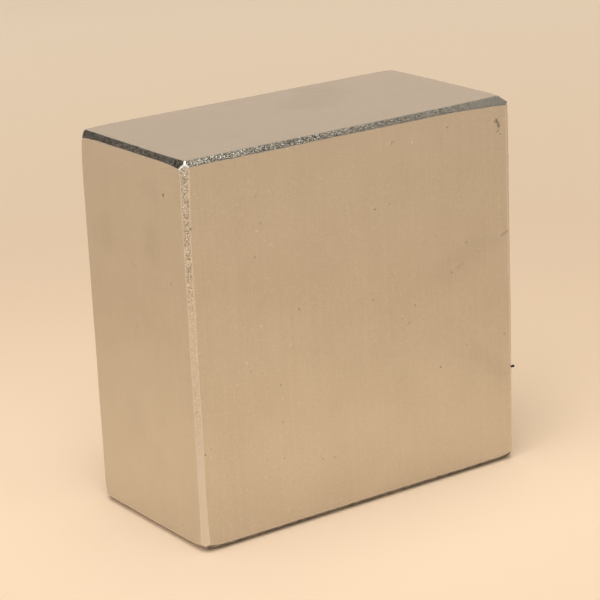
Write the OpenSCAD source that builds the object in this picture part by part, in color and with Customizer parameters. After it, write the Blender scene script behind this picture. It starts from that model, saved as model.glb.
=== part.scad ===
// Block magnet: one pressed and sintered block, ground flat on its six faces
// and plated. It stands on one of its narrow faces. All twelve edges have a
// 45 degree chamfer that is straight along the middle of the edge and curves
// inwards near the corners, so it widens there. Three chamfers meet in one
// mitred point at each corner.
// X runs along the width, Y through the thickness from pole face to pole
// face, and Z up. The origin is the middle of the face it stands on.

/* [Block] */
// Width of the pole faces
block_width = 50; // [20:1:100]
// Thickness between the two pole faces, the magnetised direction
block_thickness = 25; // [12:1:50]
// Height of the pole faces
block_height = 50; // [20:1:100]

/* [Edges] */
// Leg of the chamfer along the middle of every edge
chamfer_leg = 0.65; // [0.3:0.05:1.5]
// Extra leg that a chamfer has gained where it reaches a corner
corner_gain = 0.3; // [0.1:0.05:0.6]
// Length of edge over which a chamfer widens towards a corner
corner_run = 4; // [2:0.5:5]

/* [Hidden] */
$fn = 360;
plate_colour = [0.72, 0.68, 0.61];
// Depth from the edge to the chamfer, square to the chamfer's face
chamfer_depth = chamfer_leg / sqrt(2);
// Further depth that the chamfer has sunk by at a corner
corner_depth = corner_gain / sqrt(2);
// Radius of the curve that starts tangent to the straight middle of the
// chamfer and has sunk by corner_depth after corner_run
corner_bend = (corner_run * corner_run + corner_depth * corner_depth) / (2 * corner_depth);
// How far a cutter reaches past the stock that it takes away
overcut = 1;
// Height and width of a cutter, a little more than the widest chamfer
cutter_height = chamfer_depth + corner_depth + overcut;
cutter_width = 2 * (chamfer_leg + corner_gain + overcut);

// Outline of the stock that stays under one chamfer, seen along its face:
// x points out of the edge and y runs along it. The top is straight in the
// middle and falls away in an arc at each end.
module kept_outline(half_length) {
    straight = half_length - corner_run;
    floor_x = -2 * cutter_height;
    translate([floor_x, -straight])
        square([-floor_x, 2 * straight]);
    for (end = [-1, 1])
        intersection() {
            translate([-corner_bend, end * straight])
                circle(r = corner_bend);
            translate([floor_x, end > 0 ? straight : -half_length - overcut])
                square([-floor_x, corner_run + overcut]);
        }
}

// Stock that the grinding wheel takes off one edge. The edge lies on the
// Z axis, and the block is on the side of negative x.
module edge_cutter(half_length) {
    translate([-chamfer_depth, 0, 0])
        rotate([90, 0, 0])
            linear_extrude(height = cutter_width, center = true)
                difference() {
                    translate([-corner_depth - overcut, -half_length - overcut])
                        square([2 * cutter_height, 2 * (half_length + overcut)]);
                    kept_outline(half_length);
                }
}

// The four parallel edges along Z of a block with these half sizes
module four_edges(half_x, half_y, half_z) {
    for (side_x = [-1, 1], side_y = [-1, 1])
        translate([side_x * half_x, side_y * half_y, 0])
            rotate([0, 0, atan2(side_y, side_x)])
                edge_cutter(half_z);
}

// The whole magnet
module magnet_block() {
    half_w = block_width / 2;
    half_t = block_thickness / 2;
    half_h = block_height / 2;
    color(plate_colour)
        translate([0, 0, half_h])
            difference() {
                cube([block_width, block_thickness, block_height], center = true);
                four_edges(half_w, half_t, half_h);
                rotate([0, 90, 0])
                    four_edges(half_h, half_t, half_w);
                rotate([90, 0, 0])
                    four_edges(half_w, half_h, half_t);
            }
}

magnet_block();
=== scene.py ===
# Nickel plated block magnet, standing on a pale floor under soft studio light.
# The block's skin is worked out from its plane distances, so faces, chamfers and rolled borders are
# one closed mesh. Metres throughout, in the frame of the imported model: X along the width, Y through
# the thickness, Z up.
import math
import bmesh
import bpy
import numpy as np
from mathutils import Matrix, Vector


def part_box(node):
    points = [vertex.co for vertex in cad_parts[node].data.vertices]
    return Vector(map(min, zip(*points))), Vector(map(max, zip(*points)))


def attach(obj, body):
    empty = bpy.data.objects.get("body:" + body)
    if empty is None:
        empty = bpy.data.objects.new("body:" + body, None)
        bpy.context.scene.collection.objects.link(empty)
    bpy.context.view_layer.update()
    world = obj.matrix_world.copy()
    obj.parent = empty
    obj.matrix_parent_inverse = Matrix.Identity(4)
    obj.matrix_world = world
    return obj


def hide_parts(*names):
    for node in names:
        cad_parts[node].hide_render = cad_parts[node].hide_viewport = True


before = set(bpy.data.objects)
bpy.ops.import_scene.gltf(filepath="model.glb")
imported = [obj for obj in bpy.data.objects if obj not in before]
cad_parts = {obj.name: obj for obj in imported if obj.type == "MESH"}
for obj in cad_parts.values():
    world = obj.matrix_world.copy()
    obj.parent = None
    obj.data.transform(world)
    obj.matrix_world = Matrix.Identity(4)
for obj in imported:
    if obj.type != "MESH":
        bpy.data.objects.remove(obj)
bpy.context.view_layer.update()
mm = 0.001
lowCorner, highCorner = (np.array(corner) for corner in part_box("magnet_block"))
halfSize = (highCorner - lowCorner) / 2
middle = (highCorner + lowCorner) / 2


# Shape of the block's edges

blockShape = {
    "leg": 0.65 * mm,               # chamfer leg in the middle of an edge
    "cornerGain": 0.30 * mm,        # extra leg where a chamfer reaches a corner
    "cornerRun": 4.0 * mm,          # length of edge over which it widens
    "wander": 0.035 * mm,           # slow unevenness of the legs, and its length
    "wanderLength": 5.5 * mm,
    "ragged": 0.022 * mm,           # quick unevenness of the legs, and its length
    "raggedLength": 0.6 * mm,
    "softness": 0.060 * mm,         # distance over which borders are rolled
    "ridgeSoftness": 0.12 * mm,     # the same where two chamfers meet
    "crown": 0.012 * mm,            # how far the faces fall away next to their borders
    "crownRun": 2.3 * mm,
    "chamferReach": 4.5 * mm,       # depth below an edge in which its chamfer can matter
    "grit": 0.0020 * mm,            # height of the grinding marks on the chamfers
    "gritSize": 0.24 * mm,
    "gritHeights": (10.0, 18.0, 30.0, 36.0),                # heights in millimetres,
    "gritShares": (0.15, 0.50, 0.50, 1.00),                 # and how coarse the grit is there
    "gritPlaces": (-20.0, -10.0, -3.0, 7.0, 15.0, 20.0),    # the same for places across the front
    "gritPlaceShares": (1.12, 1.00, 1.00, 0.80, 0.76, 0.46),
    "footShade": 0.58,              # painted shade on the chamfers that it stands on
    "footHeight": 1.6,              # millimetres
    "margin": 2.4 * mm,             # strip along each edge that has its own fine mesh
    "ring": 0.35 * mm,              # join between that strip and the face's grid
    "ridgePull": 2.0 * mm,          # length over which a strip's middle line bends to the common point
    "seamPull": 0.6 * mm,           # and over which all of it closes up to the ridges
    "firstStep": 0.035 * mm,        # steps along an edge, at its ends and then growing
    "stepGrowth": 1.22,
    "stepAlong": 0.17 * mm,
    "faceStep": 0.85 * mm,
}

# Edges that aren't like the rest: axis along the edge, then the sides of the next two axes in turn.
# All in millimetres, on the first face and on the second one: the leg, then what it gains at the low
# and high end and over which run.
ownEdges = {
    (2, -1, -1): {"legs": (0.62, 0.62),
                 "low": ((0.40, 6.0), (0.27, 6.0)), "high": ((0.26, 3.5), (0.40, 14.0))},
    (1, 1, -1): {"legs": (0.70, 0.68),
                 "low": ((0.14, 5.0), (0.34, 3.5)), "high": ((-0.08, 5.0), (0.40, 6.0))},
    (0, -1, 1): {"legs": (0.66, 0.68),
                 "low": ((0.10, 2.0), (-0.20, 2.0)), "high": ((0.46, 13.0), (0.42, 10.0))},
    (1, 1, 1): {"legs": (0.63, 0.65),
                 "low": ((0.60, 4.0), (0.22, 4.0)), "high": ((0.45, 4.0), (0.40, 4.0))},
    (2, 1, -1): {"legs": (0.31, 0.58),
                 "low": ((0.45, 32.0), (0.50, 3.0)), "high": ((0.18, 3.0), (0.10, 4.0))},
    (2, -1, 1): {"legs": (1.00, 0.72),
                 "low": ((0.52, 2.5), (0.40, 4.0)), "high": ((0.58, 5.0), (0.85, 4.0))},
    (0, 1, 1): {"legs": (0.65, 0.62),
                 "low": ((1.10, 3.5), (0.78, 5.0)), "high": ((0.40, 4.0), (0.45, 4.0))},
    (0, -1, -1): {"legs": (0.78, 0.74),
                 "low": ((0.64, 3.0), (0.60, 3.0)), "high": ((0.36, 4.0), (0.25, 4.0))},
    (1, -1, -1): {"legs": (0.74, 0.76),
                 "low": ((0.60, 3.0), (0.62, 3.0)), "high": ((0.20, 3.0), (0.22, 3.0))},
}

stationsOnFace = np.array([0.0, 0.5, 0.8, 0.91, 0.955])       # from the face's grid to the chamfer's border
stationsOnChamfer = np.array([0.0, 0.1, 0.2, 0.45, 0.72])     # from the border to the chamfer's middle


def randomAt(lattice, seed):
    # A fixed value from 0 to 1 for each whole-number point, from its mixed bits
    x, y, z = lattice.T
    mixed = x * 73856093 ^ y * 19349663 ^ z * 83492791 ^ seed * 2654435761
    mixed = (mixed & 0xFFFFFFFF) * 2246822519 & 0xFFFFFFFF
    mixed = (mixed ^ mixed >> 15) * 3266489917 & 0xFFFFFFFF
    return ((mixed ^ mixed >> 16) & 0xFFFF) / 65535.0


def latticeNoise(points, cell, seed):
    # Value noise from -1 to 1: the eight random corners of a point's cell, weighted by w or 1 - w with
    # w = t t (3 - 2 t)
    scaled = np.asarray(points, float) / cell
    base = np.floor(scaled).astype(np.int64)
    weight = scaled - base
    weight = weight * weight * (3 - 2 * weight)
    total = np.zeros(len(scaled))
    for corner in range(8):
        offset = np.array([corner & 1, corner >> 1 & 1, corner >> 2 & 1])
        share = np.prod(np.where(offset == 1, weight, 1 - weight), axis=1)
        total += share * randomAt(base + offset, seed)
    return total * 2 - 1


def edgeLegs(edge, along):
    # Legs of an edge's chamfer at these places: the middle leg, plus gain times (1 - t / run) to the
    # power 1.7 at a distance t under run from a corner, plus slow and quick noise
    axis = edge[0]
    gain = blockShape["cornerGain"] / mm, blockShape["cornerRun"] / mm
    usual = {"legs": (blockShape["leg"] / mm,) * 2, "low": (gain, gain), "high": (gain, gain)}
    own = ownEdges.get(edge, usual)
    flat = np.ravel(along)
    line = np.stack([flat, flat * 0, flat * 0], axis=1)
    seed = 11 + axis * 9 + (edge[1] + 1) * 2 + edge[2]
    found = []
    for side in (0, 1):
        leg = own["legs"][side] * mm
        for end, distance in (("low", flat + halfSize[axis]), ("high", halfSize[axis] - flat)):
            gain, run = own[end][side]
            leg = leg + gain * mm * np.clip(1 - distance / (run * mm), 0, 1) ** 1.7
        sideSeed = seed + side * 40
        leg = leg + latticeNoise(line, blockShape["wanderLength"], sideSeed) * blockShape["wander"]
        leg = leg + latticeNoise(line, blockShape["raggedLength"], sideSeed + 80) * blockShape["ragged"]
        found.append(leg.reshape(np.shape(along)))
    return found


allEdges = [(axis, first, second) for axis in range(3) for first in (-1, 1) for second in (-1, 1)]


def blockDistance(points):
    # Distance outside the block, its gradient, how much of it a chamfer makes and how near a ridge is.
    # It is the smooth maximum of six face planes and twelve chamfer planes: max(a, b) + s h h / 4,
    # with h = max(1 - |a - b| / s, 0)
    border, ridge = blockShape["softness"], blockShape["ridgeSoftness"]
    value = np.full(len(points), -1.0)
    gradient = np.zeros((len(points), 3))
    chamfer = np.zeros(len(points))
    worn = np.zeros(len(points))

    def join(rows, distance, normal, isChamfer):
        # one more plane
        soft = border + (ridge - border) * chamfer[rows] * isChamfer
        h = np.clip(1 - np.abs(value[rows] - distance) / soft, 0, 1)
        share = np.where(distance > value[rows], 1 - h / 2, h / 2)
        value[rows] = np.maximum(value[rows], distance) + soft * h * h / 4
        gradient[rows] = gradient[rows] * (1 - share)[:, None] + normal * share[:, None]
        worn[rows] = np.maximum(worn[rows], 2 * h * chamfer[rows] * isChamfer)
        chamfer[rows] = chamfer[rows] * (1 - share) + isChamfer * share

    depths = halfSize - np.abs(points)
    for axis in range(3):
        fromEdge = np.delete(depths, axis, axis=1).min(axis=1)
        fall = blockShape["crown"] * np.clip(1 - fromEdge / blockShape["crownRun"], 0, 1) ** 2
        for side in (-1, 1):
            outside = side * points[:, axis] - halfSize[axis] + fall
            join(slice(None), outside, side * np.eye(3)[axis], 0.0)
    for edge in allEdges:
        axis, sideI, sideJ = edge
        i, j = (axis + 1) % 3, (axis + 2) % 3
        depthI = halfSize[i] - sideI * points[:, i]
        depthJ = halfSize[j] - sideJ * points[:, j]
        rows = np.flatnonzero(depthI + depthJ < blockShape["chamferReach"])
        depthI, depthJ = depthI[rows], depthJ[rows]
        legI, legJ = edgeLegs(edge, points[rows, axis])
        size = np.sqrt(legI ** 2 + legJ ** 2)
        normal = np.zeros((len(rows), 3))
        normal[:, i] = sideI * legI / size
        normal[:, j] = sideJ * legJ / size
        join(rows, (legI * legJ - depthI * legI - depthJ * legJ) / size, normal, 1.0)
    return value, gradient, chamfer, np.minimum(worn, 1)


def cornerDepths(signs):
    # Where three chamfers meet at a corner, as depths below its three faces: their common point, and on
    # each face the corner of its flat. Each chamfer says depthI / legJ + depthJ / legI = 1; the legs
    # follow the place, so it is solved a few times over from a first guess.
    signs = np.array(signs)
    point = np.full(3, 0.45 * mm)
    flats = np.full((3, 3), 0.9 * mm)
    for turn in range(12):
        rows = np.zeros((3, 3))
        for axis in range(3):
            i, j = (axis + 1) % 3, (axis + 2) % 3
            edge = (axis, int(signs[i]), int(signs[j]))
            along = signs[axis] * (halfSize[axis] - point[axis])
            legI, legJ = edgeLegs(edge, np.array([along]))
            rows[axis, i] = 1 / legJ[0]
            rows[axis, j] = 1 / legI[0]
        point = np.linalg.solve(rows, np.ones(3))
        for face in range(3):
            a, b = (face + 1) % 3, (face + 2) % 3
            # the border on this face of the edge along b lies at a depth of the a axis, and so for a
            alongB = signs[b] * (halfSize[b] - flats[face, b])
            alongA = signs[a] * (halfSize[a] - flats[face, a])
            legsB = edgeLegs((b, int(signs[face]), int(signs[a])), np.array([alongB]))
            legsA = edgeLegs((a, int(signs[b]), int(signs[face])), np.array([alongA]))
            flats[face] = 0
            flats[face, a] = legsB[0][0]
            flats[face, b] = legsA[1][0]
    return point, flats


corners = {(x, y, z): cornerDepths((x, y, z)) for x in (-1, 1) for y in (-1, 1) for z in (-1, 1)}


def ridgeRows(signs, i, j):
    # The line that closes a strip at a corner: face i's grid, the corner of flat i, the common point,
    # and back out over face j
    point, flats = corners[signs]
    along = 3 - i - j
    outerI = np.zeros(3)
    outerI[[j, along]] = blockShape["margin"]
    outerJ = np.zeros(3)
    outerJ[[i, along]] = blockShape["margin"]
    onFace, onChamfer = stationsOnFace[:, None], stationsOnChamfer[:, None]
    half = [outerI + (flats[i] - outerI) * onFace, flats[i] + (point - flats[i]) * onChamfer]
    back = [flats[j] + (point - flats[j]) * onChamfer[::-1], outerJ + (flats[j] - outerJ) * onFace[::-1]]
    return np.concatenate(half + [point[None]] + back)


def alongFractions(length):
    # Fractions from 0 to 1 along an edge: steps that grow from the corners, then even ones
    step = blockShape["stepAlong"]
    grow = np.minimum(blockShape["firstStep"] * blockShape["stepGrowth"] ** np.arange(40), step)
    grow = np.cumsum(grow[grow < step])
    count = int(round((length - 2 * grow[-1]) / step))
    even = np.linspace(grow[-1], length - grow[-1], count + 1)
    return np.concatenate([[0], grow[:-1], even, length - grow[:-1][::-1], [length]]) / length


def edgeStrip(edge):
    # Grid of points over one edge: rows go from one face over the chamfer to the other, columns along
    # the edge. A row's place is the chamfer's own profile there, moved at both ends to meet the ridges.
    axis, sideI, sideJ = edge
    i, j = (axis + 1) % 3, (axis + 2) % 3
    ends = []
    for sideK in (-1, 1):
        signs = [0, 0, 0]
        signs[axis], signs[i], signs[j] = sideK, sideI, sideJ
        ends.append(ridgeRows(tuple(signs), i, j))
    low, high = ends
    across = len(low)
    reach = halfSize[axis]
    w = alongFractions(2 * (reach - blockShape["margin"]))[None, :]
    startAt = (-reach + low[:, axis])[:, None]
    stopAt = (reach - high[:, axis])[:, None]
    along = startAt + (stopAt - startAt) * w
    legI, legJ = edgeLegs(edge, along)
    midShare = 0.5 * np.ones_like(along)
    for end, rows, distance in ((0, low, along + reach), (1, high, reach - along)):
        point = rows[across // 2]
        endLegs = edgeLegs(edge, np.array([(-1, 1)[end] * (reach - point[axis])]))
        pull = np.clip(1 - distance / blockShape["ridgePull"], 0, 1) ** 2
        midShare = midShare + (point[i] / endLegs[1][0] - 0.5) * pull
    fromI = np.concatenate([stationsOnFace, np.ones(across - len(stationsOnFace))])[:, None]
    depthI = np.zeros_like(along)
    depthJ = blockShape["margin"] + (legI - blockShape["margin"]) * fromI
    half = len(stationsOnFace) + len(stationsOnChamfer)
    first = slice(len(stationsOnFace), half + 1)
    last = slice(half + 1, across - len(stationsOnFace))
    t = np.append(stationsOnChamfer, 1.0)[:, None] * midShare[first]
    depthI[first] = legJ[first] * t
    depthJ[first] = legI[first] * (1 - t)
    t = 1 - stationsOnChamfer[::-1][:, None] * (1 - midShare[last])
    depthI[last] = legJ[last] * t
    depthJ[last] = legI[last] * (1 - t)
    outer = slice(across - len(stationsOnFace), across)
    back = stationsOnFace[::-1][:, None]
    depthI[outer] = blockShape["margin"] + (legJ[outer] - blockShape["margin"]) * back
    depthJ[outer] = 0
    for rows, column, distance in ((low, 0, along + reach), (high, -1, reach - along)):
        near = np.clip(1 - (distance - distance[:, [column]]) / blockShape["seamPull"], 0, 1) ** 2
        depthI += (rows[:, i] - depthI[:, column])[:, None] * near
        depthJ += (rows[:, j] - depthJ[:, column])[:, None] * near
    points = np.zeros(along.shape + (3,))
    points[..., axis] = along
    points[..., i] = sideI * (halfSize[i] - depthI)
    points[..., j] = sideJ * (halfSize[j] - depthJ)
    index = np.arange(points[..., 0].size).reshape(along.shape)
    cells = [index[:-1, :-1], index[:-1, 1:], index[1:, 1:], index[1:, :-1]]
    quads = np.stack(cells, axis=-1).reshape(-1, 4)
    if sideI * sideJ > 0:
        quads = quads[:, ::-1]
    return points.reshape(-1, 3), quads


# Marks in the plate, in millimetres on their own face: start across and up, end across and up, radius,
# depth, and how dark they are. A bright speck has a negative darkness, and a stain has no depth.

faceMarks = {
    "front": [
        (22.86, 47.15, 23.22, 46.30, 0.23, 0.060, 0.56),
        (22.58, 46.98, 22.66, 46.96, 0.19, 0.030, 0.36),
        (23.18, 45.80, 23.10, 45.62, 0.15, 0.022, 0.30),
        (22.88, 45.60, 22.92, 45.58, 0.14, 0.020, 0.28),
        (23.36, 45.22, 23.42, 45.17, 0.15, 0.024, 0.33),
        (21.56, 47.27, 21.58, 47.26, 0.12, 0.010, 0.17),
        (24.30, 31.95, 23.35, 31.62, 0.25, 0.010, 0.21),
        (17.36, 31.82, 17.43, 31.77, 0.19, 0.015, 0.30),
        (19.28, 30.20, 19.32, 30.15, 0.21, 0.012, 0.19),
        (14.86, 28.32, 14.92, 28.20, 0.25, 0.018, 0.25),
        (15.67, 28.71, 16.83, 29.09, 0.21, 0.007, 0.13),
        (20.24, 27.94, 20.28, 27.90, 0.13, 0.008, 0.15),
        (13.58, 26.65, 13.60, 26.63, 0.12, 0.008, 0.13),
        (2.10, 27.31, 2.13, 27.29, 0.14, 0.018, 0.34),
        (1.13, 27.41, 1.15, 27.39, 0.11, 0.008, 0.16),
        (0.17, 27.36, 0.19, 27.34, 0.11, 0.008, 0.16),
        (6.67, 23.82, 6.70, 23.78, 0.13, 0.014, 0.28),
        (7.72, 22.98, 7.75, 22.94, 0.14, 0.016, 0.32),
        (3.07, 33.13, 3.09, 33.11, 0.12, 0.008, 0.16),
        (-15.02, 43.92, -15.00, 43.88, 0.13, 0.012, 0.25),
        (-14.30, 40.60, -14.28, 40.58, 0.13, 0.014, 0.28),
        (-15.53, 40.91, -15.51, 40.89, 0.12, 0.010, 0.21),
        (5.92, 47.03, 5.96, 47.03, 0.16, 0.020, 0.52),
        (12.64, 15.83, 12.66, 15.81, 0.14, 0.030, 0.55),
        (23.43, 18.02, 23.47, 17.92, 0.16, 0.014, 0.28),
        (15.56, 5.65, 15.58, 5.63, 0.14, 0.012, 0.22),
        (5.96, 13.90, 5.98, 13.88, 0.12, 0.008, 0.17),
        (2.33, 14.48, 2.35, 14.46, 0.12, 0.008, 0.17),
        (-4.93, 7.73, -4.89, 7.71, 0.15, 0.018, 0.38),
        (-6.68, 7.97, -6.64, 7.95, 0.14, 0.014, 0.28),
        (-15.20, 10.11, -15.18, 10.09, 0.12, 0.010, 0.18),
        (-4.60, 1.30, -4.58, 1.28, 0.13, 0.010, 0.18),
        (-16.89, 22.21, -16.87, 22.19, 0.14, 0.014, 0.29),
        (-23.23, 13.66, -23.21, 13.62, 0.16, 0.008, 0.18),
        (-24.16, 13.10, -24.14, 13.02, 0.14, 0.014, 0.56),
        (-24.28, 41.88, -24.27, 41.74, 0.14, 0.014, 0.56),
        (9.08, 46.63, 9.08, 46.60, 0.24, 0.004, -1.00),
        (-14.97, 39.72, -14.97, 39.70, 0.19, 0.004, -0.96),
        (-12.99, 37.63, -12.99, 37.61, 0.19, 0.004, -0.80),
        (-5.04, 44.53, -5.04, 44.51, 0.19, 0.004, -0.80),
        (-15.00, 27.61, -15.00, 27.59, 0.19, 0.004, -0.88),
        (-17.37, 23.32, -17.37, 23.30, 0.19, 0.004, -0.88),
        (-19.01, 20.97, -19.01, 20.95, 0.19, 0.004, -0.72),
        (-10.74, 24.24, -10.74, 24.22, 0.19, 0.004, -0.72),
        (18.60, 16.40, 23.00, 12.60, 1.70, 0.000, 0.05),
        (13.60, 28.80, 21.00, 31.20, 2.20, 0.000, 0.04),
    ],
    "top": [
        (3.60, 2.40, 8.80, 6.80, 4.60, 0.000, 0.05),
    ],
    "left": [
        (-7.91, 45.25, -7.91, 45.19, 0.20, 0.030, 0.78),
        (-8.44, 34.27, -8.44, 34.23, 0.16, 0.018, 0.48),
        (0.27, 26.74, 0.27, 26.70, 0.15, 0.014, 0.38),
        (-1.83, 25.14, -1.83, 25.10, 0.12, 0.008, 0.16),
        (-5.50, 45.60, -3.80, 45.60, 1.60, 0.000, 0.05),
        (6.40, 39.00, 6.40, 36.40, 2.00, 0.000, 0.05),
        (-4.00, 39.60, -4.00, 37.60, 2.00, 0.000, 0.05),
    ],
}
# Each face's axis, side and the two axes that its marks are measured along
markedFaces = {"front": (1, -1, 0, 2), "top": (2, 1, 0, 1), "left": (0, -1, 1, 2)}

markShape = {
    "nearFace": 0.05 * mm,      # points this near to a face's plane belong to the face
    "widestPit": 0.5 * mm,      # wider marks are stains, which need no finer mesh
    "finestEdge": 0.13 * mm,    # mesh edges near a mark are halved down to this
    "halvings": 3,
    "wobble": 0.25,             # share by which a mark's outline wanders, and over which length
    "wobbleLength": 0.12 * mm,
}


def marksOf(name):
    # One face's marks in metres from the block's middle: starts, ends, radii, depths and darkness
    _, _, across, up = markedFaces[name]
    lift = np.array([middle[across], middle[up]])
    marks = np.array(faceMarks[name])
    starts, ends = marks[:, 0:2] * mm - lift, marks[:, 2:4] * mm - lift
    return starts, ends, marks[:, 4] * mm, marks[:, 5] * mm, marks[:, 6]


def zipper(outer, inner):
    # Triangles between two rows of points on parallel lines: each step of one row joins the nearest
    # point of the other. Indices below len(outer) are outer points, the rest inner ones.
    count = len(outer)
    nearest = np.searchsorted((inner[:-1] + inner[1:]) / 2, (outer[:-1] + outer[1:]) / 2)
    step = np.arange(count - 1)
    fromOuter = np.stack([step, step + 1, count + nearest], axis=1)
    piece = np.arange(len(inner) - 1)
    joined = np.searchsorted(nearest, piece, side="right")
    fromInner = np.stack([count + piece, joined, count + piece + 1], axis=1)
    return np.concatenate([fromOuter, fromInner])


def flatFace(axis, side):
    # Grid over one face inside the edge strips, with a ring of triangles that joins it to them
    i, j = (axis + 1) % 3, (axis + 2) % 3
    margin = blockShape["margin"]
    inner = halfSize - margin - blockShape["ring"]
    counts = np.round(2 * inner / blockShape["faceStep"]).astype(int)
    linesI, linesJ = (np.linspace(-inner[a], inner[a], counts[a]) for a in (i, j))
    gridI, gridJ = np.meshgrid(linesI, linesJ, indexing="ij")
    flat = [np.stack([gridI.ravel(), gridJ.ravel()], axis=1)]
    index = np.arange(gridI.size).reshape(gridI.shape)
    cells = [index[:-1, :-1], index[1:, :-1], index[1:, 1:], index[:-1, 1:]]
    quads = np.stack(cells, axis=-1).reshape(-1, 4)
    triangles = []
    total = gridI.size
    for a, b, lines, column in ((i, j, linesI, 1), (j, i, linesJ, 0)):
        reach = halfSize[a] - margin
        outer = -reach + 2 * reach * alongFractions(2 * reach)
        for end in (-1, 1):
            edgePoints = np.empty((len(outer), 2))
            edgePoints[:, 1 - column] = outer
            edgePoints[:, column] = end * (halfSize[b] - margin)
            last = 0 if end < 0 else -1
            rim = index[:, last] if column == 1 else index[last, :]
            lookup = np.concatenate([total + np.arange(len(outer)), rim])
            triangles.append(lookup[zipper(outer, lines)])
            flat.append(edgePoints)
            total += len(outer)
    flat = np.concatenate(flat)
    triangles = np.concatenate(triangles)
    corner = flat[triangles]
    turn = np.cross(corner[:, 1] - corner[:, 0], corner[:, 2] - corner[:, 0])
    triangles = np.where((turn > 0)[:, None], triangles, triangles[:, ::-1])
    if side < 0:
        quads, triangles = quads[:, ::-1], triangles[:, ::-1]
    points = np.zeros((len(flat), 3))
    points[:, i] = flat[:, 0]
    points[:, j] = flat[:, 1]
    points[:, axis] = side * halfSize[axis]
    return points, quads, triangles


def readPoints(mesh):
    points = np.empty(len(mesh.vertices) * 3)
    mesh.vertices.foreach_get("co", points)
    return points.reshape(-1, 3)


def addAttribute(mesh, name, values):
    attribute = mesh.attributes.new(name, "FLOAT", "POINT")
    attribute.data.foreach_set("value", values.astype(np.float32))


def splitNearMarks(mesh, sewn):
    # Halves the long edges around each mark a few times over, so that its bowl has points of its own
    for turn in range(markShape["halvings"]):
        points = readPoints(mesh)
        ends = np.empty(len(mesh.edges) * 2, np.int64)
        mesh.edges.foreach_get("vertices", ends)
        ends = points[ends.reshape(-1, 2)]
        centre, length = ends.mean(axis=1), np.linalg.norm(ends[:, 1] - ends[:, 0], axis=1)
        wanted = np.zeros(len(centre), bool)
        for name, (axis, side, across, up) in markedFaces.items():
            onFace = np.abs(side * centre[:, axis] - halfSize[axis]) < markShape["nearFace"]
            for start, end, radius in zip(*marksOf(name)[:3]):
                if radius > markShape["widestPit"]:
                    continue
                wanted |= onFace & (awayFrom(centre[:, [across, up]], start, end) < radius + 0.5 * length)
        wanted &= length > markShape["finestEdge"]
        sewn.edges.ensure_lookup_table()
        chosen = [sewn.edges[int(number)] for number in np.flatnonzero(wanted)]
        bmesh.ops.subdivide_edges(sewn, edges=chosen, cuts=1, use_grid_fill=True)
        sewn.to_mesh(mesh)


def awayFrom(place, start, end):
    # Distance from the line between two points: to start + t (end - start), with t kept from 0 to 1
    line = end - start
    t = np.clip((place - start) @ line / max(line @ line, 1e-12), 0, 1)
    return np.linalg.norm(place - start - t[:, None] * line, axis=1)


def pressMarks(points):
    # Depth and darkness of the marks: depth (1 - d d / r r) squared inside radius r of a mark's line.
    # A negative darkness makes a bright speck.
    press = np.zeros_like(points)
    dark, shine = np.zeros(len(points)), np.zeros(len(points))
    rough = 1 + markShape["wobble"] * latticeNoise(points, markShape["wobbleLength"], 5)
    for name, (axis, side, across, up) in markedFaces.items():
        near = np.abs(side * points[:, axis] - halfSize[axis]) < markShape["nearFace"]
        place = points[:, [across, up]]
        for start, end, radius, depth, darkness in zip(*marksOf(name)):
            away = awayFrom(place, start, end) / radius
            bowl = np.clip(1 - (away / rough) ** 2, 0, 1) ** 2 * near
            deepest = np.minimum(press[:, axis] * side, -depth * bowl) * side
            press[:, axis] = np.where(near, deepest, press[:, axis])
            dark = np.maximum(dark, darkness * np.sqrt(bowl))
            shine = np.maximum(shine, -darkness * np.sqrt(bowl))
    return press, dark, shine


def coarseness(points):
    # How coarsely a chamfer was ground: by its height, and on the front also by its place across
    height, across = (points[:, 2] + middle[2]) / mm, points[:, 0] / mm
    byHeight = np.interp(height, blockShape["gritHeights"], blockShape["gritShares"])
    byPlace = np.interp(across, blockShape["gritPlaces"], blockShape["gritPlaceShares"])
    return byHeight * np.where(points[:, 1] < 0, byPlace, 1.0)


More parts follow.
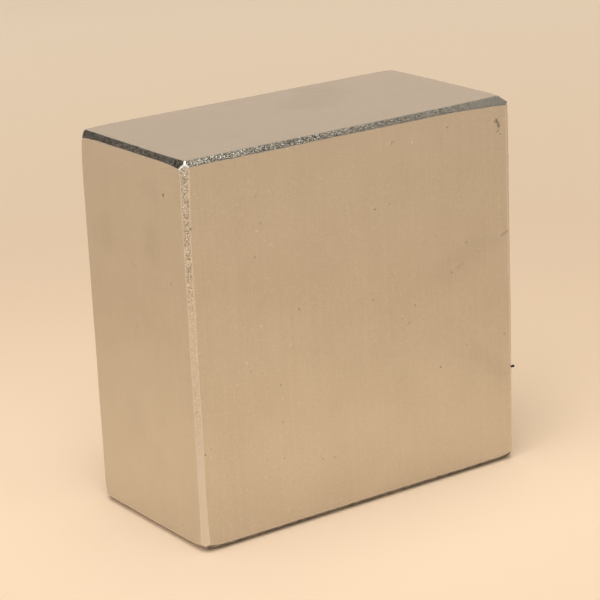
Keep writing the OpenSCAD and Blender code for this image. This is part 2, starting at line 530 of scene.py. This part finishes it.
def makeBlock():
    # Strips and faces sewn together, then moved onto the surface where blockDistance is zero
    points, faces = [], []
    total = 0
    for edge in allEdges:
        stripPoints, quads = edgeStrip(edge)
        points.append(stripPoints)
        faces += (quads + total).tolist()
        total += len(stripPoints)
    for axis in range(3):
        for side in (-1, 1):
            facePoints, quads, triangles = flatFace(axis, side)
            points.append(facePoints)
            faces += (quads + total).tolist() + (triangles + total).tolist()
            total += len(facePoints)
    mesh = bpy.data.meshes.new("magnetSkin")
    mesh.from_pydata(np.concatenate(points), [], faces)
    sewn = bmesh.new()
    sewn.from_mesh(mesh)
    bmesh.ops.remove_doubles(sewn, verts=sewn.verts, dist=0.001 * mm)
    sewn.to_mesh(mesh)
    splitNearMarks(mesh, sewn)
    sewn.free()

    skin = readPoints(mesh)
    for turn in range(5):
        value, gradient = blockDistance(skin)[:2]
        skin -= gradient * (value / np.sum(gradient ** 2, axis=1))[:, None]
    value, gradient, chamfer, worn = blockDistance(skin)
    size = blockShape["gritSize"]
    ground = chamfer * coarseness(skin) * (1 - worn)
    grit = latticeNoise(skin, size, 3) + 0.6 * latticeNoise(skin, size * 0.55, 4) - 0.4
    skin += gradient * (grit * ground * blockShape["grit"])[:, None]
    press, dark, shine = pressMarks(skin)
    skin += press
    # painted shade on the lowest chamfers where the block meets the floor, less on the left and right ones
    foot = np.clip(blockShape["footHeight"] - (skin[:, 2] + middle[2]) / mm, 0, 1)
    foot *= np.clip(1.5 * np.abs(gradient[:, 2]), 0, 1) * (1 - 0.8 * np.abs(gradient[:, 0]))
    patchy = 1 + 0.4 * latticeNoise(skin, 0.5 * mm, 6)
    dark = np.maximum(dark, chamfer * foot * blockShape["footShade"] * patchy)
    addAttribute(mesh, "chamfer", chamfer)
    addAttribute(mesh, "ground", ground)
    addAttribute(mesh, "dark", dark)
    # shine holds the bright specks and a painted highlight on the worn ridges where chamfers meet
    addAttribute(mesh, "shine", np.maximum(shine, 0.8 * worn))
    addAttribute(mesh, "level", np.abs(gradient[:, 2]))
    mesh.vertices.foreach_set("co", (skin + middle).ravel())
    mesh.shade_smooth()
    mesh.update()
    block = bpy.data.objects.new("magnetSkin", mesh)
    bpy.context.scene.collection.objects.link(block)
    return block


# A crumb of iron that the magnet holds on its right front edge

crumbShape = {
    "place": (25.04, -12.24, 12.98),   # millimetres, as its half sizes
    "size": (0.29, 0.25, 0.20),
    "roughness": 0.28,
    "rings": 24,
}


def makeCrumb():
    # A ball r(u, v) = size (1 + noise), flattened on the planes of a broken grain
    rings = crumbShape["rings"]
    around = np.linspace(0, 2 * math.pi, 2 * rings, endpoint=False)
    down = np.linspace(0, math.pi, rings + 1)[1:-1]
    u, v = np.meshgrid(around, down)
    ball = np.stack([np.cos(u) * np.sin(v), np.sin(u) * np.sin(v), np.cos(v)], axis=-1).reshape(-1, 3)
    ball = np.concatenate([ball, [[0, 0, 1], [0, 0, -1]]])
    reach = 1 + crumbShape["roughness"] * latticeNoise(ball, 0.7, 21) + 0.12 * latticeNoise(ball, 0.28, 22)
    for direction in ((0.5, 0.6, 0.62), (-0.7, 0.2, 0.68), (0.3, -0.8, -0.5), (0.9, -0.3, 0.3)):
        facing = ball @ np.array(direction)
        reach = np.where(facing > 0.2, np.minimum(reach, 0.8 / np.maximum(facing, 0.2)), reach)
    points = ball * reach[:, None] * np.array(crumbShape["size"]) * mm + np.array(crumbShape["place"]) * mm
    index = np.arange(2 * rings * (rings - 1)).reshape(rings - 1, 2 * rings)
    right = np.roll(index, -1, axis=1)
    quads = np.stack([index[:-1], index[1:], right[1:], right[:-1]], axis=-1).reshape(-1, 4)
    top, bottom = len(points) - 2, len(points) - 1
    poles = np.full_like(index[:2], top)
    poles[1] = bottom
    caps = np.stack([poles, [index[0], right[-1]], [right[0], index[-1]]], axis=-1).reshape(-1, 3)
    mesh = bpy.data.meshes.new("ironCrumb")
    mesh.from_pydata(points, [], quads.tolist() + caps.tolist())
    mesh.shade_smooth()
    crumb = bpy.data.objects.new("ironCrumb", mesh)
    bpy.context.scene.collection.objects.link(crumb)
    return crumb


# Node helpers

def addNode(tree, kind, inputs=None, **settings):
    # A node with its settings and inputs: a socket given as an input is linked, anything else is its value
    node = tree.nodes.new(kind)
    for name, value in settings.items():
        setattr(node, name, value)
    for name, value in (inputs or {}).items():
        if isinstance(value, bpy.types.NodeSocket):
            tree.links.new(value, node.inputs[name])
        else:
            node.inputs[name].default_value = value
    return node


def calc(tree, operation, first, *others):
    # Joins the first value with each of the others in turn
    for other in others:
        first = addNode(tree, "ShaderNodeMath", {0: first, 1: other}, operation=operation).outputs[0]
    return first


def remap(tree, value, low, high, toLow=0.0, toHigh=1.0):
    # From one range to another, kept inside it
    inputs = {"Value": value, "From Min": low, "From Max": high, "To Min": toLow, "To Max": toHigh}
    return addNode(tree, "ShaderNodeMapRange", inputs, clamp=True).outputs[0]


def blendColour(tree, amount, first, second):
    # A Mix node has sockets of one name for each data type, and only those of its own type are enabled
    inputs = {"Factor": amount, "A": first, "B": second}
    node = tree.nodes.new("ShaderNodeMix")
    node.data_type = "RGBA"
    for socket in node.inputs:
        if socket.name in inputs and socket.enabled:
            value = inputs[socket.name]
            if isinstance(value, bpy.types.NodeSocket):
                tree.links.new(value, socket)
            else:
                socket.default_value = value
    return next(socket for socket in node.outputs if socket.enabled)


def noise(tree, vector, scale, detail=2.0, roughness=0.5):
    inputs = {"Vector": vector, "Scale": scale, "Detail": detail, "Roughness": roughness}
    return addNode(tree, "ShaderNodeTexNoise", inputs).outputs["Fac"]


def cellsOf(tree, vector, scale):
    # Distance to the middle of the cell that a point is in, and a value that the whole cell shares
    cells = addNode(tree, "ShaderNodeTexVoronoi", {"Vector": vector, "Scale": scale}, feature="F1")
    pick = addNode(tree, "ShaderNodeSeparateColor", {0: cells.outputs["Color"]}).outputs[0]
    return cells.outputs["Distance"], pick


def newGroup(name, inputs, outputs):
    # A node group with a vector socket for each input given as None, and plain values otherwise
    group = bpy.data.node_groups.new(name, "ShaderNodeTree")
    for label, value in inputs.items():
        kind = "NodeSocketVector" if value is None else "NodeSocketFloat"
        socket = group.interface.new_socket(label, in_out="INPUT", socket_type=kind)
        if value is not None:
            socket.default_value = value
    for label in outputs:
        group.interface.new_socket(label, in_out="OUTPUT", socket_type="NodeSocketFloat")
    given = group.nodes.new("NodeGroupInput").outputs
    result = group.nodes.new("NodeGroupOutput").inputs
    return group, given, result


def makeGroundLines():
    # Straight grinding lines: noise stretched along Z on the walls and along X on the top and bottom
    group, given, result = newGroup(
        "groundLines",
        {"Position": None, "Level": 0.0, "Line Width": 0.0002, "Line Length": 0.02},
        ["Lines", "Clouds"],
    )
    squeeze = calc(group, "DIVIDE", given["Line Width"], given["Line Length"])
    parts = addNode(group, "ShaderNodeSeparateXYZ", {0: given["Position"]}).outputs
    flat = remap(group, given["Level"], 0.45, 0.55)
    upright = calc(group, "SUBTRACT", 1.0, flat)
    alongX = calc(group, "MULTIPLY", parts["X"], squeeze)
    alongZ = calc(group, "MULTIPLY", parts["Z"], squeeze)
    wallStretch = {"X": parts["X"], "Y": parts["Y"], "Z": alongZ}
    wallVector = addNode(group, "ShaderNodeCombineXYZ", wallStretch).outputs[0]
    levelStretch = {"X": alongX, "Y": parts["Y"], "Z": parts["Z"]}
    levelVector = addNode(group, "ShaderNodeCombineXYZ", levelStretch).outputs[0]
    scale = calc(group, "DIVIDE", 1.0, given["Line Width"])
    onWalls = noise(group, wallVector, scale, 3.0, 0.6)
    onLevel = noise(group, levelVector, scale, 3.0, 0.6)
    wallShare = calc(group, "MULTIPLY", onWalls, upright)
    levelShare = calc(group, "MULTIPLY", onLevel, flat)
    lineValue = calc(group, "ADD", wallShare, levelShare)
    group.links.new(lineValue, result["Lines"])
    group.links.new(noise(group, given["Position"], 140.0, 3.0, 0.55), result["Clouds"])
    return group


def makePlateGrain():
    # The plate's fine grain: even noise, small cells of differing brightness, and sparse pinholes
    group, given, result = newGroup(
        "plateGrain",
        {"Position": None, "Grain Size": 0.0002, "Pinhole Spacing": 0.003},
        ["Grain", "Pits", "Cells", "Flecks", "Pinholes"],
    )
    scale = calc(group, "DIVIDE", 1.0, given["Grain Size"])
    group.links.new(noise(group, given["Position"], scale, 2.0, 0.6), result["Grain"])
    cells, pick = cellsOf(group, given["Position"], scale)
    group.links.new(cells, result["Pits"])
    group.links.new(pick, result["Cells"])
    group.links.new(remap(group, pick, 0.95, 1.0), result["Flecks"])
    holeScale = calc(group, "DIVIDE", 1.0, given["Pinhole Spacing"])
    holes, holePick = cellsOf(group, given["Position"], holeScale)
    small = remap(group, holes, 0.02, 0.05, 1.0, 0.0)
    some = remap(group, holePick, 0.55, 1.0)
    group.links.new(calc(group, "MULTIPLY", small, some), result["Pinholes"])
    return group


nickelFinish = {
    "metal": (0.66, 0.61, 0.53, 1.0),
    "dull": (0.50, 0.455, 0.39, 1.0),       # where the plate is tarnished or its grain is deep
    "gritty": (0.13, 0.12, 0.105, 1.0),     # between the grains of a coarsely ground chamfer
    "bright": (0.80, 0.76, 0.70, 1.0),      # specks, grains, and painted highlights on rolled borders, fine chamfers and worn ridges
    "sootAndShade": (0.055, 0.045, 0.035, 1.0),     # inside nicks and pits, and painted shade on the chamfers it stands on
    "faceRoughness": 0.22,
    "chamferRoughness": 0.38,
    "gritRoughness": 0.20,
    "lineWidth": 0.00035,                   # metres, as the next four
    "lineLength": 0.020,
    "faceGrain": 0.00014,
    "chamferGrain": 0.00013,
    "bumpHeight": 0.000006,
    "cloudDull": 0.22,                      # how dull clouds, ground lines and grain make a face
    "lineDull": 0.14,
    "grainDull": 0.35,
    "uprightGritPaintedLight": 0.48,                    # painted light: upright chamfers keep this share of the dark grit colour, so they are lighter than level ones
    "calmShine": 0.65,                      # painted highlight: how much brighter a finely ground chamfer is painted
    "speckShine": 0.5,
    "pinholeSoot": 0.6,
    "sootRoughness": 0.4,
    "lineHeight": 0.5,                      # shares of the bump height
    "faceGrainHeight": 2.0,
    "gritGrainHeight": 3.8,
    "gritPitHeight": 3.4,
}


def makeNickel(groundLines, plateGrain):
    # Bright but not polished nickel: ground lines under the plate on the faces, coarse grit on the chamfers
    finish = nickelFinish
    material = bpy.data.materials.new("nickelPlate")
    material.use_nodes = True
    tree = material.node_tree
    surface = tree.nodes["Principled BSDF"]
    surface.inputs["Metallic"].default_value = 1.0
    place = addNode(tree, "ShaderNodeTexCoord").outputs["Object"]
    chamfer, ground, shine, dark, level = (
        addNode(tree, "ShaderNodeAttribute", attribute_name=name).outputs["Fac"]
        for name in ("chamfer", "ground", "shine", "dark", "level")
    )
    lineInputs = {"Position": place, "Level": level}
    lineInputs |= {"Line Width": finish["lineWidth"], "Line Length": finish["lineLength"]}
    lines = addNode(tree, "ShaderNodeGroup", lineInputs, node_tree=groundLines).outputs
    fineInputs = {"Position": place, "Grain Size": finish["faceGrain"]}
    fine = addNode(tree, "ShaderNodeGroup", fineInputs, node_tree=plateGrain).outputs
    coarseInputs = {"Position": place, "Grain Size": finish["chamferGrain"]}
    coarse = addNode(tree, "ShaderNodeGroup", coarseInputs, node_tree=plateGrain).outputs
    onFace = calc(tree, "SUBTRACT", 1.0, chamfer)

    # soot in the marks, painted shade at the foot, and pinholes
    pinholes = calc(tree, "MULTIPLY", fine["Pinholes"], onFace, finish["pinholeSoot"])
    sootAndShade = calc(tree, "MAXIMUM", dark, pinholes)

    # dull places on the faces, dark cells in the grit
    cloudDull = remap(tree, lines["Clouds"], 0.35, 0.7, finish["cloudDull"], 0.0)
    lineDull = remap(tree, lines["Lines"], 0.3, 0.7, finish["lineDull"], 0.0)
    grainDull = remap(tree, fine["Grain"], 0.3, 0.6, finish["grainDull"], 0.0)
    dullFace = calc(tree, "MULTIPLY", calc(tree, "ADD", cloudDull, lineDull, grainDull), onFace)
    # painted light and shade: the dark grit colour is weaker on upright chamfers and full on level ones
    depth = calc(tree, "MULTIPLY", ground, remap(tree, level, 0.0, 0.6, finish["uprightGritPaintedLight"], 1.0))
    gritty = calc(tree, "MULTIPLY", remap(tree, coarse["Cells"], 0.20, 0.65, 1.0, 0.0), depth)

    # bright places: specks and single grains of the grit, and painted highlights on the rolled borders, on
    # fine chamfers and on worn ridges
    faceFlecks = calc(tree, "MULTIPLY", fine["Flecks"], finish["speckShine"])
    # painted highlight along the rolled borders between faces and chamfers
    rim = calc(tree, "MULTIPLY", chamfer, onFace, 3.0)
    gritFlecks = calc(tree, "MULTIPLY", remap(tree, coarse["Cells"], 0.65, 0.90), ground)
    # painted highlight on the finely ground chamfers
    calmHighlight = calc(tree, "MULTIPLY", calc(tree, "SUBTRACT", chamfer, ground), finish["calmShine"])
    flecks = calc(tree, "MAXIMUM", faceFlecks, rim, gritFlecks, calmHighlight, shine)

    metal = blendColour(tree, dullFace, finish["metal"], finish["dull"])
    grains = blendColour(tree, gritty, metal, finish["gritty"])
    plate = blendColour(tree, flecks, grains, finish["bright"])
    tree.links.new(blendColour(tree, sootAndShade, plate, finish["sootAndShade"]), surface.inputs["Base Color"])

    faceRough = finish["faceRoughness"]
    even = remap(tree, lines["Clouds"], 0.3, 0.7, faceRough - 0.03, faceRough + 0.04)
    ragged = remap(tree, ground, 0.2, 1.0, finish["chamferRoughness"], finish["gritRoughness"])
    onFaces = calc(tree, "MULTIPLY", even, onFace)
    onChamfers = calc(tree, "MULTIPLY", chamfer, ragged)
    sootRough = calc(tree, "MULTIPLY", sootAndShade, finish["sootRoughness"])
    tree.links.new(calc(tree, "ADD", onFaces, onChamfers, sootRough), surface.inputs["Roughness"])

    lineHeight = calc(tree, "MULTIPLY", lines["Lines"], finish["lineHeight"])
    fineHeight = calc(tree, "MULTIPLY", fine["Grain"], finish["faceGrainHeight"])
    faceHeight = calc(tree, "MULTIPLY", calc(tree, "ADD", lineHeight, fineHeight), onFace)
    grainHeight = calc(tree, "MULTIPLY", coarse["Grain"], finish["gritGrainHeight"])
    pitHeight = calc(tree, "MULTIPLY", coarse["Pits"], finish["gritPitHeight"])
    chamferHeight = calc(tree, "MULTIPLY", calc(tree, "ADD", grainHeight, pitHeight), ground)
    height = calc(tree, "ADD", faceHeight, chamferHeight)
    bumpInputs = {"Height": height, "Strength": 1.0, "Distance": finish["bumpHeight"]}
    bump = addNode(tree, "ShaderNodeBump", bumpInputs)
    tree.links.new(bump.outputs[0], surface.inputs["Normal"])
    return material


ironFinish = {
    "dark": (0.008, 0.007, 0.006, 1.0),
    "light": (0.05, 0.045, 0.04, 1.0),
    "grain": 0.00005,
    "metallic": 0.6,
    "roughness": 0.6,
}


def makeIron(plateGrain):
    # Dull black iron with light grains
    material = bpy.data.materials.new("blackIron")
    material.use_nodes = True
    tree = material.node_tree
    surface = tree.nodes["Principled BSDF"]
    surface.inputs["Metallic"].default_value = ironFinish["metallic"]
    surface.inputs["Roughness"].default_value = ironFinish["roughness"]
    place = addNode(tree, "ShaderNodeTexCoord").outputs["Object"]
    grainInputs = {"Position": place, "Grain Size": ironFinish["grain"]}
    grain = addNode(tree, "ShaderNodeGroup", grainInputs, node_tree=plateGrain).outputs["Grain"]
    colour = blendColour(tree, grain, ironFinish["dark"], ironFinish["light"])
    tree.links.new(colour, surface.inputs["Base Color"])
    return material


block = makeBlock()
crumb = makeCrumb()
triangleCount = len(block.data.loops) - 2 * len(block.data.polygons)
print("block skin", len(block.data.vertices), "points,", triangleCount, "triangles")

groundLines = makeGroundLines()
plateGrain = makePlateGrain()
block.data.materials.append(makeNickel(groundLines, plateGrain))
crumb.data.materials.append(makeIron(plateGrain))
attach(block, "root")
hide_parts("magnet_block")
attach(crumb, "root")
print("materials done")


# Floor, light and camera

studio = {
    "floorSize": 6.0,
    "floorColour": (0.83, 0.64, 0.47, 1.0),
    "nearFloorPaintedLight": (0.96, 0.755, 0.56, 1.0),     # painted light: it gets lighter towards the block,
    "nearFloor": (0.03, 0.13),                       # between these distances from it,
    "farFloorPaintedLight": (0.99, 0.82, 0.65, 1.0),       # and also far from it, painted light that evens out the lamps' fall-off
    "farFloor": (0.10, 0.34),
    # lamps: name, place, what it points at, size and power
    "lamps": [
        ("overheadSoftbox", (-0.13, -0.13, 0.42), (0.0, 0.0, 0.0), (0.40, 0.40), 0.76),
        ("windowSoftbox", (-0.60, -0.44, 0.42), (0.0, 0.0, 0.03), (1.40, 0.26), 2.5),
    ],
    "cardSide": (0.56, 0.83, 0.0),     # a pale card stands on this side,
    "cardEdge": (0.66, 0.84),          # with a soft edge between these dot products,
    "flagSide": (-0.57, 0.82, 0.0),    # and a grey flag that dims the room on this one
    "flagEdge": (0.55, 0.75),
    # height of the direction, from -1 straight down to 1 straight up, and the light from there
    "card": [(-1.0, (0.75, 0.62, 0.50)), (0.10, (0.76, 0.62, 0.50)), (0.31, (0.77, 0.63, 0.52)),
             (0.39, (0.98, 0.88, 0.68)), (0.47, (0.20, 0.19, 0.17)), (0.76, (0.38, 0.35, 0.30)),
             (0.89, (0.46, 0.43, 0.37)), (0.92, (2.05, 1.97, 1.78))],
    "room": [(-1.0, (0.55, 0.45, 0.36)), (0.0, (0.30, 0.27, 0.24)), (0.30, (0.22, 0.21, 0.19)),
             (0.60, (0.22, 0.21, 0.20)), (0.76, (0.34, 0.31, 0.26)), (0.89, (0.46, 0.43, 0.37)),
             (0.92, (2.05, 1.97, 1.78))],
    "flag": [(-1.0, (1.0, 1.0, 1.0)), (0.04, (1.0, 1.0, 1.0)), (0.12, (0.58, 0.58, 0.58)),
             (0.68, (0.58, 0.58, 0.58)), (0.75, (1.0, 1.0, 1.0))],
}


def makeFloor():
    # A flat square at z = 0, far larger than the picture
    half = studio["floorSize"] / 2
    mesh = bpy.data.meshes.new("studioFloor")
    rim = [(-half, -half, 0), (half, -half, 0), (half, half, 0), (-half, half, 0)]
    mesh.from_pydata(rim, [], [(0, 1, 2, 3)])
    floor = bpy.data.objects.new("studioFloor", mesh)
    bpy.context.scene.collection.objects.link(floor)
    material = bpy.data.materials.new("paleCard")
    material.use_nodes = True
    tree = material.node_tree
    surface = tree.nodes["Principled BSDF"]
    place = addNode(tree, "ShaderNodeTexCoord").outputs["Object"]
    away = addNode(tree, "ShaderNodeVectorMath", {0: place}, operation="LENGTH").outputs["Value"]
    # painted light: the floor's colour is lighter near the block and far from it, between the distances above
    far = remap(tree, away, *studio["farFloor"])
    near = remap(tree, away, *studio["nearFloor"], 1.0, 0.0)
    sheet = blendColour(tree, far, studio["floorColour"], studio["farFloorPaintedLight"])
    tree.links.new(blendColour(tree, near, sheet, studio["nearFloorPaintedLight"]), surface.inputs["Base Color"])
    surface.inputs["Roughness"].default_value = 0.9
    surface.inputs["Specular IOR Level"].default_value = 0.1
    mesh.materials.append(material)
    return floor


def addSoftbox(name, place, aim, size, power):
    # A rectangular lamp that faces a point
    lamp = bpy.data.lights.new(name, "AREA")
    lamp.shape = "RECTANGLE"
    lamp.size, lamp.size_y = size
    lamp.energy = power
    box = bpy.data.objects.new(name, lamp)
    box.location = place
    box.rotation_euler = (Vector(aim) - Vector(place)).to_track_quat("-Z", "Y").to_euler()
    bpy.context.scene.collection.objects.link(box)


def skyRamp(tree, up, colours):
    # Colour by the height of a direction
    ramp = addNode(tree, "ShaderNodeValToRGB", {0: up})
    stops = ramp.color_ramp.elements
    for number, (height, colour) in enumerate(colours):
        stop = stops[number] if number < 2 else stops.new(height / 2 + 0.5)
        stop.position = height / 2 + 0.5
        stop.color = colour + (1.0,)
    return ramp.outputs["Color"]


def makeSky():
    # The room all round, the card where the direction's dot product with the card's side is high, and
    # all of it dimmed by the flag in the same way
    world = bpy.data.worlds.new("studioSky")
    world.use_nodes = True
    tree = world.node_tree
    direction = addNode(tree, "ShaderNodeTexCoord").outputs["Generated"]
    up = remap(tree, addNode(tree, "ShaderNodeSeparateXYZ", {0: direction}).outputs["Z"], -1.0, 1.0)
    shares = []
    for name in ("card", "flag"):
        sides = {0: direction, 1: studio[name + "Side"]}
        toSide = addNode(tree, "ShaderNodeVectorMath", sides, operation="DOT_PRODUCT").outputs["Value"]
        shares.append(remap(tree, toSide, *studio[name + "Edge"]))
    room, card, flag = (skyRamp(tree, up, studio[name]) for name in ("room", "card", "flag"))
    room = blendColour(tree, shares[0], room, card)
    shade = blendColour(tree, shares[1], (1.0, 1.0, 1.0, 1.0), flag)
    colour = addNode(tree, "ShaderNodeVectorMath", {0: room, 1: shade}, operation="MULTIPLY").outputs[0]
    background = tree.nodes["Background"]
    tree.links.new(colour, background.inputs["Color"])
    background.inputs["Strength"].default_value = 1.0
    bpy.context.scene.world = world


makeFloor()
for lampRow in studio["lamps"]:
    addSoftbox(*lampRow)
makeSky()
print("studio done")

# The camera was solved from the block's edges in the photograph
viewpoint = {
    "place": (-0.16465, -0.24082, 0.11609),
    "azimuth": 34.273,     # degrees from +Y towards +X
    "elevation": 17.366,   # degrees down
    "roll": -2.647,
    "lens": 140.33,
}


def makeCamera():
    # Looks along (sin a cos e, cos a cos e, -sin e) for azimuth a and elevation e, then rolls about that line
    azimuth, elevation, roll = (math.radians(viewpoint[key]) for key in ("azimuth", "elevation", "roll"))
    ahead = Vector((
        math.sin(azimuth) * math.cos(elevation),
        math.cos(azimuth) * math.cos(elevation),
        -math.sin(elevation),
    ))
    right = Vector((math.cos(azimuth), -math.sin(azimuth), 0.0))
    up = right.cross(ahead)
    tiltedRight = right * math.cos(roll) + up * math.sin(roll)
    tiltedUp = up * math.cos(roll) - right * math.sin(roll)
    camera = bpy.data.objects.new("camera", bpy.data.cameras.new("camera"))
    camera.data.lens = viewpoint["lens"]
    camera.data.sensor_width = 36.0
    camera.data.clip_start = 0.01
    turn = Matrix((tiltedRight, tiltedUp, -ahead)).transposed().to_4x4()
    camera.matrix_world = Matrix.Translation(viewpoint["place"]) @ turn
    bpy.context.scene.collection.objects.link(camera)
    bpy.context.scene.camera = camera


makeCamera()
bpy.context.scene.view_settings.view_transform = "Standard"
